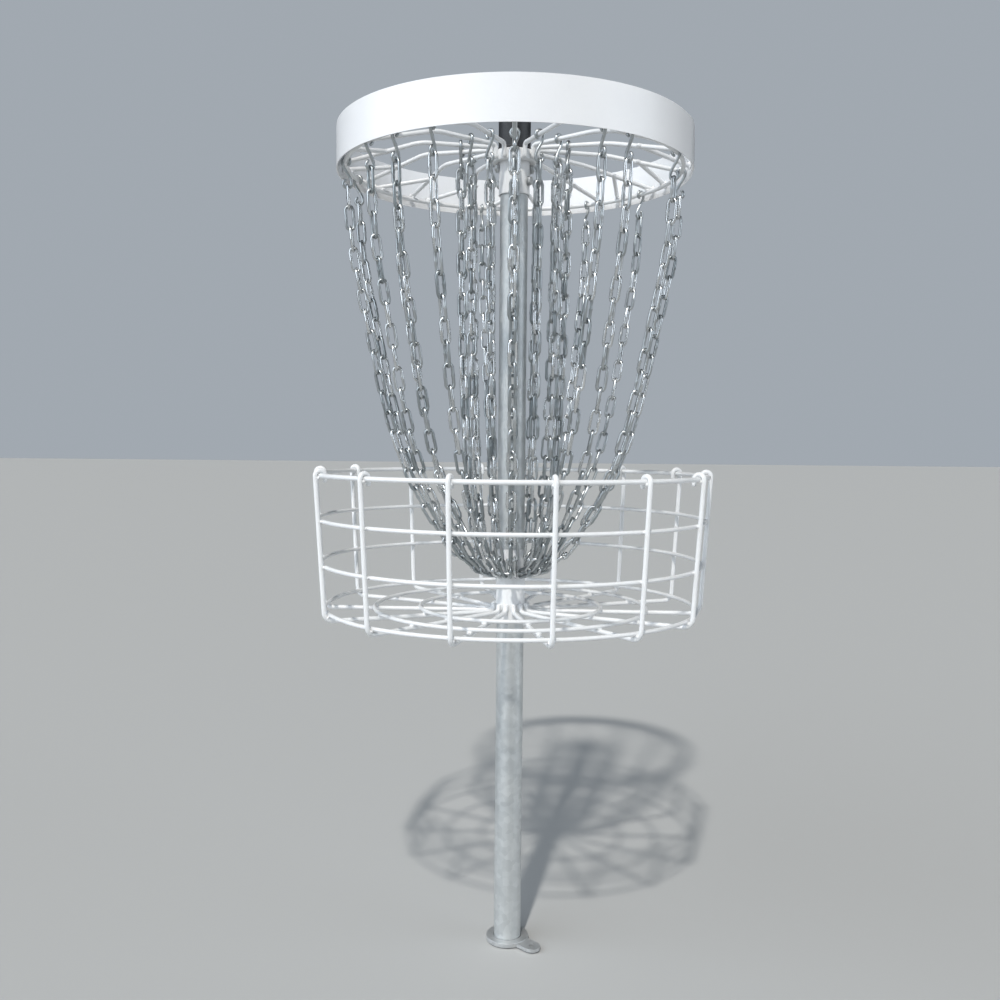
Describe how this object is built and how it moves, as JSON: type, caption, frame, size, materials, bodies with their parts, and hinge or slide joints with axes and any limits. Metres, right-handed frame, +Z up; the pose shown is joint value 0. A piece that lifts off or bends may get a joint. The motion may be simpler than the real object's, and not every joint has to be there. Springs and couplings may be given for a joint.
{
  "type": "disc golf basket",
  "caption": "Free-standing target: a pole in a ground sleeve carries a round wire basket and a banded rod head, with two rows of hanging chains gathered on a small ring.",
  "frame": {"origin": "on the pole's axis at ground level, where the pole goes into its ground sleeve", "axes": "+Z up along the pole, -Y towards the front, where the picture was taken from, +X to the right of it"},
  "size_m": [0.7072, 0.696, 1.767],
  "materials": {
    "powder_coat": "satin",
    "galvanised_tube": "satin",
    "zinc_chain": "semi-gloss",
    "black_cap": "satin",
    "fastener_zinc": "semi-gloss"
  },
  "bodies": {
    "stand": {"pole": "galvanised_tube", "pole_cap": "black_cap", "ground_sleeve": "galvanised_tube", "head_sleeve": "powder_coat", "head_rods": "powder_coat", "head_ring": "powder_coat", "band": "powder_coat", "basket_sleeve": "powder_coat", "rim_ring": "powder_coat", "upper_ring": "powder_coat", "lower_ring": "powder_coat", "bottom_ring": "powder_coat", "outer_floor_ring": "powder_coat", "inner_floor_ring": "powder_coat", "basket_rib_01": "powder_coat", "basket_rib_02": "powder_coat", "basket_rib_03": "powder_coat", "basket_rib_04": "powder_coat", "basket_rib_05": "powder_coat", "basket_rib_06": "powder_coat", "basket_rib_07": "powder_coat", "basket_rib_08": "powder_coat", "basket_rib_09": "powder_coat", "basket_rib_10": "powder_coat", "basket_rib_11": "powder_coat", "basket_rib_12": "powder_coat", "basket_rib_13": "powder_coat", "basket_rib_14": "powder_coat", "head_bolt_upper": "fastener_zinc", "head_bolt_lower": "fastener_zinc", "basket_bolt": "fastener_zinc", "chain_ring": "zinc_chain"},
    "outer_chain_01": {"outer_chain_01": "zinc_chain"},
    "outer_chain_02": {"outer_chain_02": "zinc_chain"},
    "outer_chain_03": {"outer_chain_03": "zinc_chain"},
    "outer_chain_04": {"outer_chain_04": "zinc_chain"},
    "outer_chain_05": {"outer_chain_05": "zinc_chain"},
    "outer_chain_06": {"outer_chain_06": "zinc_chain"},
    "outer_chain_07": {"outer_chain_07": "zinc_chain"},
    "outer_chain_08": {"outer_chain_08": "zinc_chain"},
    "outer_chain_09": {"outer_chain_09": "zinc_chain"},
    "outer_chain_10": {"outer_chain_10": "zinc_chain"},
    "outer_chain_11": {"outer_chain_11": "zinc_chain"},
    "outer_chain_12": {"outer_chain_12": "zinc_chain"},
    "outer_chain_13": {"outer_chain_13": "zinc_chain"},
    "outer_chain_14": {"outer_chain_14": "zinc_chain"},
    "inner_chain_01": {"inner_chain_01": "zinc_chain"},
    "inner_chain_02": {"inner_chain_02": "zinc_chain"},
    "inner_chain_03": {"inner_chain_03": "zinc_chain"},
    "inner_chain_04": {"inner_chain_04": "zinc_chain"},
    "inner_chain_05": {"inner_chain_05": "zinc_chain"},
    "inner_chain_06": {"inner_chain_06": "zinc_chain"},
    "inner_chain_07": {"inner_chain_07": "zinc_chain"},
    "inner_chain_08": {"inner_chain_08": "zinc_chain"},
    "inner_chain_09": {"inner_chain_09": "zinc_chain"},
    "inner_chain_10": {"inner_chain_10": "zinc_chain"},
    "inner_chain_11": {"inner_chain_11": "zinc_chain"},
    "inner_chain_12": {"inner_chain_12": "zinc_chain"},
    "inner_chain_13": {"inner_chain_13": "zinc_chain"},
    "inner_chain_14": {"inner_chain_14": "zinc_chain"}
  },
  "joints": [
    {"name": "outer_chain_01_sway", "type": "hinge", "parent": "stand", "child": "outer_chain_01", "pos_m": [-0.06524, 0.28257, 1.374], "axis": [-0.0877, 0.3262, 0.9412], "range_deg": [-10, 10]},
    {"name": "outer_chain_02_sway", "type": "hinge", "parent": "stand", "child": "outer_chain_02", "pos_m": [-0.22537, 0.1825, 1.374], "axis": [-0.2793, 0.1967, 0.9399], "range_deg": [-10, 10]},
    {"name": "outer_chain_03_sway", "type": "hinge", "parent": "stand", "child": "outer_chain_03", "pos_m": [-0.28257, 0.06524, 1.374], "axis": [-0.3374, 0.0541, 0.9398], "range_deg": [-10, 10]},
    {"name": "outer_chain_04_sway", "type": "hinge", "parent": "stand", "child": "outer_chain_04", "pos_m": [-0.28366, -0.06029, 1.374], "axis": [-0.3285, -0.0929, 0.9399], "range_deg": [-10, 10]},
    {"name": "outer_chain_05_sway", "type": "hinge", "parent": "stand", "child": "outer_chain_05", "pos_m": [-0.22852, -0.17854, 1.374], "axis": [-0.2545, -0.2278, 0.9399], "range_deg": [-10, 10]},
    {"name": "outer_chain_06_sway", "type": "hinge", "parent": "stand", "child": "outer_chain_06", "pos_m": [-0.1825, -0.22537, 1.374], "axis": [-0.2034, -0.2695, 0.9413], "range_deg": [-10, 10]},
    {"name": "outer_chain_07_sway", "type": "hinge", "parent": "stand", "child": "outer_chain_07", "pos_m": [-0.12256, -0.26283, 1.374], "axis": [-0.1415, -0.3051, 0.9417], "range_deg": [-10, 10]},
    {"name": "outer_chain_08_sway", "type": "hinge", "parent": "stand", "child": "outer_chain_08", "pos_m": [0, -0.29, 1.374], "axis": [0, -0.3363, 0.9417], "range_deg": [-10, 10]},
    {"name": "outer_chain_09_sway", "type": "hinge", "parent": "stand", "child": "outer_chain_09", "pos_m": [0.13166, -0.25839, 1.374], "axis": [0.1538, -0.2991, 0.9417], "range_deg": [-10, 10]},
    {"name": "outer_chain_10_sway", "type": "hinge", "parent": "stand", "child": "outer_chain_10", "pos_m": [0.17453, -0.2316, 1.374], "axis": [0.1926, -0.2779, 0.9411], "range_deg": [-10, 10]},
    {"name": "outer_chain_11_sway", "type": "hinge", "parent": "stand", "child": "outer_chain_11", "pos_m": [0.26065, -0.12713, 1.374], "axis": [0.298, -0.159, 0.9412], "range_deg": [-10, 10]},
    {"name": "outer_chain_12_sway", "type": "hinge", "parent": "stand", "child": "outer_chain_12", "pos_m": [0.29, 0, 1.374], "axis": [0.3375, -0.012, 0.9412], "range_deg": [-10, 10]},
    {"name": "outer_chain_13_sway", "type": "hinge", "parent": "stand", "child": "outer_chain_13", "pos_m": [0.24042, 0.16217, 1.374], "axis": [0.2814, 0.1846, 0.9417], "range_deg": [-10, 10]},
    {"name": "outer_chain_14_sway", "type": "hinge", "parent": "stand", "child": "outer_chain_14", "pos_m": [0.145, 0.25115, 1.374], "axis": [0.1717, 0.2894, 0.9417], "range_deg": [-10, 10]},
    {"name": "inner_chain_01_sway", "type": "hinge", "parent": "stand", "child": "inner_chain_01", "pos_m": [0, -0.095, 1.412], "axis": [-0.012, -0.0757, 0.9971], "range_deg": [-10, 10]},
    {"name": "inner_chain_02_sway", "type": "hinge", "parent": "stand", "child": "inner_chain_02", "pos_m": [0.04122, -0.08559, 1.412], "axis": [0.022, -0.0734, 0.9971], "range_deg": [-10, 10]},
    {"name": "inner_chain_03_sway", "type": "hinge", "parent": "stand", "child": "inner_chain_03", "pos_m": [0.07427, -0.05923, 1.412], "axis": [0.0517, -0.0566, 0.9971], "range_deg": [-10, 10]},
    {"name": "inner_chain_04_sway", "type": "hinge", "parent": "stand", "child": "inner_chain_04", "pos_m": [0.09262, -0.02114, 1.412], "axis": [0.0711, -0.0286, 0.9971], "range_deg": [-10, 10]},
    {"name": "inner_chain_05_sway", "type": "hinge", "parent": "stand", "child": "inner_chain_05", "pos_m": [0.09262, 0.02114, 1.412], "axis": [0.0764, 0.0051, 0.9971], "range_deg": [-10, 10]},
    {"name": "inner_chain_06_sway", "type": "hinge", "parent": "stand", "child": "inner_chain_06", "pos_m": [0.07427, 0.05923, 1.412], "axis": [0.0667, 0.0378, 0.9971], "range_deg": [-10, 10]},
    {"name": "inner_chain_07_sway", "type": "hinge", "parent": "stand", "child": "inner_chain_07", "pos_m": [0.04122, 0.08559, 1.412], "axis": [0.0437, 0.063, 0.9971], "range_deg": [-10, 10]},
    {"name": "inner_chain_08_sway", "type": "hinge", "parent": "stand", "child": "inner_chain_08", "pos_m": [0, 0.095, 1.412], "axis": [0.012, 0.0757, 0.9971], "range_deg": [-10, 10]},
    {"name": "inner_chain_09_sway", "type": "hinge", "parent": "stand", "child": "inner_chain_09", "pos_m": [-0.04122, 0.08559, 1.412], "axis": [-0.022, 0.0734, 0.9971], "range_deg": [-10, 10]},
    {"name": "inner_chain_10_sway", "type": "hinge", "parent": "stand", "child": "inner_chain_10", "pos_m": [-0.07427, 0.05923, 1.412], "axis": [-0.0517, 0.0566, 0.9971], "range_deg": [-10, 10]},
    {"name": "inner_chain_11_sway", "type": "hinge", "parent": "stand", "child": "inner_chain_11", "pos_m": [-0.09262, 0.02114, 1.412], "axis": [-0.0711, 0.0286, 0.9971], "range_deg": [-10, 10]},
    {"name": "inner_chain_12_sway", "type": "hinge", "parent": "stand", "child": "inner_chain_12", "pos_m": [-0.09262, -0.02114, 1.412], "axis": [-0.0764, -0.0051, 0.9971], "range_deg": [-10, 10]},
    {"name": "inner_chain_13_sway", "type": "hinge", "parent": "stand", "child": "inner_chain_13", "pos_m": [-0.07427, -0.05923, 1.412], "axis": [-0.0667, -0.0378, 0.9971], "range_deg": [-10, 10]},
    {"name": "inner_chain_14_sway", "type": "hinge", "parent": "stand", "child": "inner_chain_14", "pos_m": [-0.04122, -0.08559, 1.412], "axis": [-0.0437, -0.063, 0.9971], "range_deg": [-10, 10]}
  ]
}
